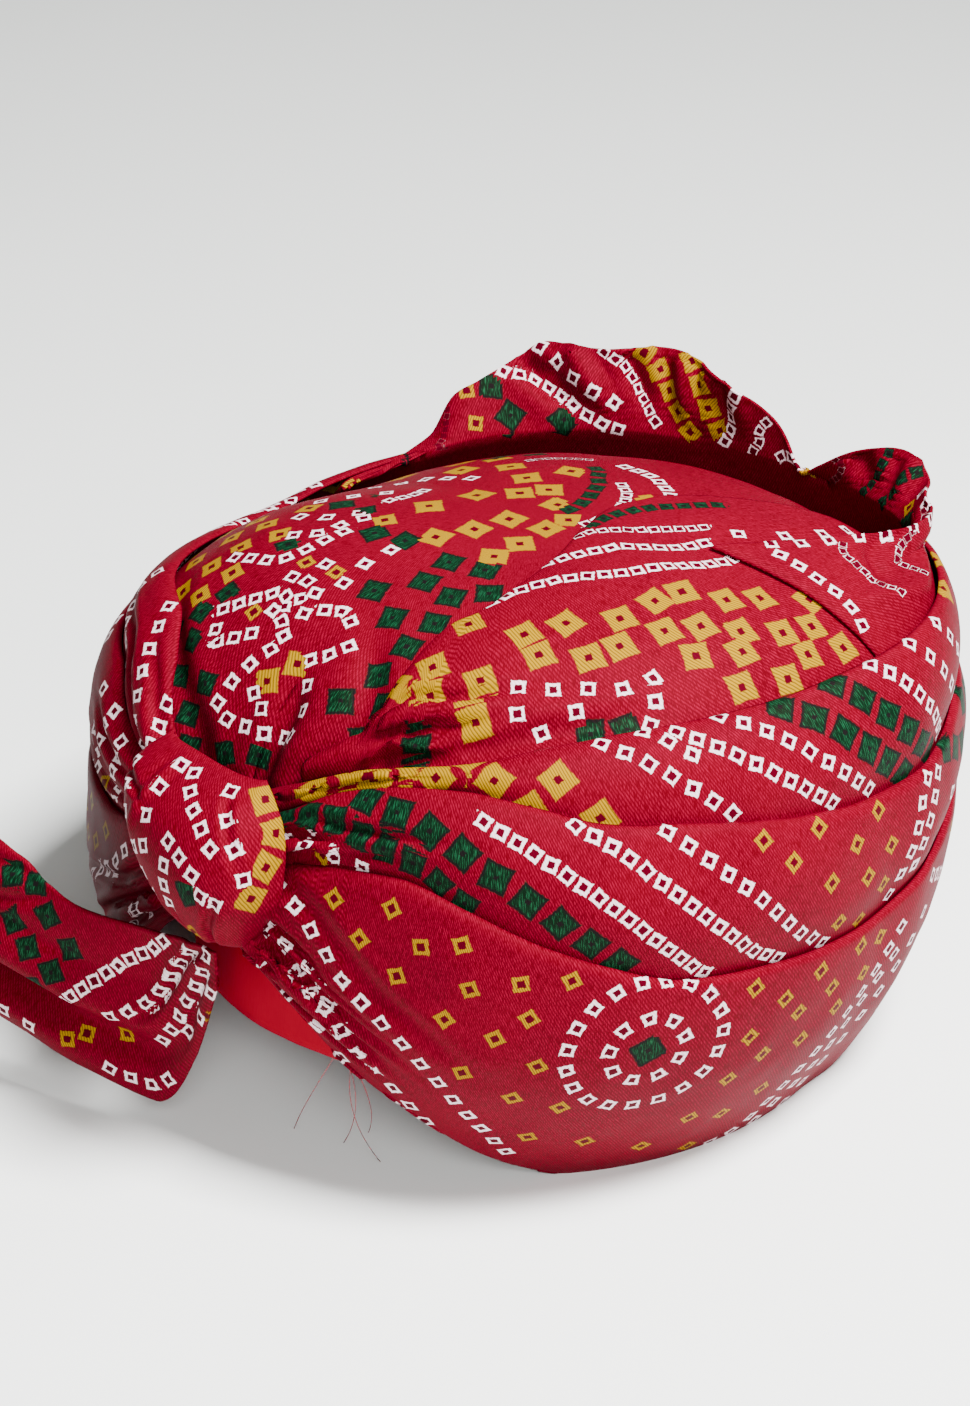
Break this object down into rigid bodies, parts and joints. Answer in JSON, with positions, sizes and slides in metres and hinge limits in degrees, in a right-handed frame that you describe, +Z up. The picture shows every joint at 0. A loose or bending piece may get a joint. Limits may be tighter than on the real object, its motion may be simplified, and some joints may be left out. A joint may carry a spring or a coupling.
{
  "type": "tied turban pagri",
  "caption": "Ready-tied cloth turban with shingled side wraps, a crown wrap, a ruffled front crest, a back knot and a folded tail, open below for the head.",
  "frame": {"origin": "under the middle of the whole turban, on the surface that it lies on", "axes": "+Z up, the way the crown points; +Y to the back of the head, where the knot and tail are; the crest is over the forehead at -Y"},
  "size_m": [0.2416, 0.275, 0.1542],
  "materials": {
    "wrap_cloth": "crimson satin twill with a white, yellow and green bandhani print",
    "lining_cloth": "plain bright red woven lining"
  },
  "bodies": {
    "root": {"lining_cap": "lining_cloth", "crown_cover": "wrap_cloth", "crown_wrap": "wrap_cloth", "side_wrap_upper": "wrap_cloth", "side_wrap_middle": "wrap_cloth", "side_wrap_lower": "wrap_cloth", "crest_fan": "wrap_cloth", "knot_loop": "wrap_cloth", "tail": "wrap_cloth"}
  },
  "joints": []
}
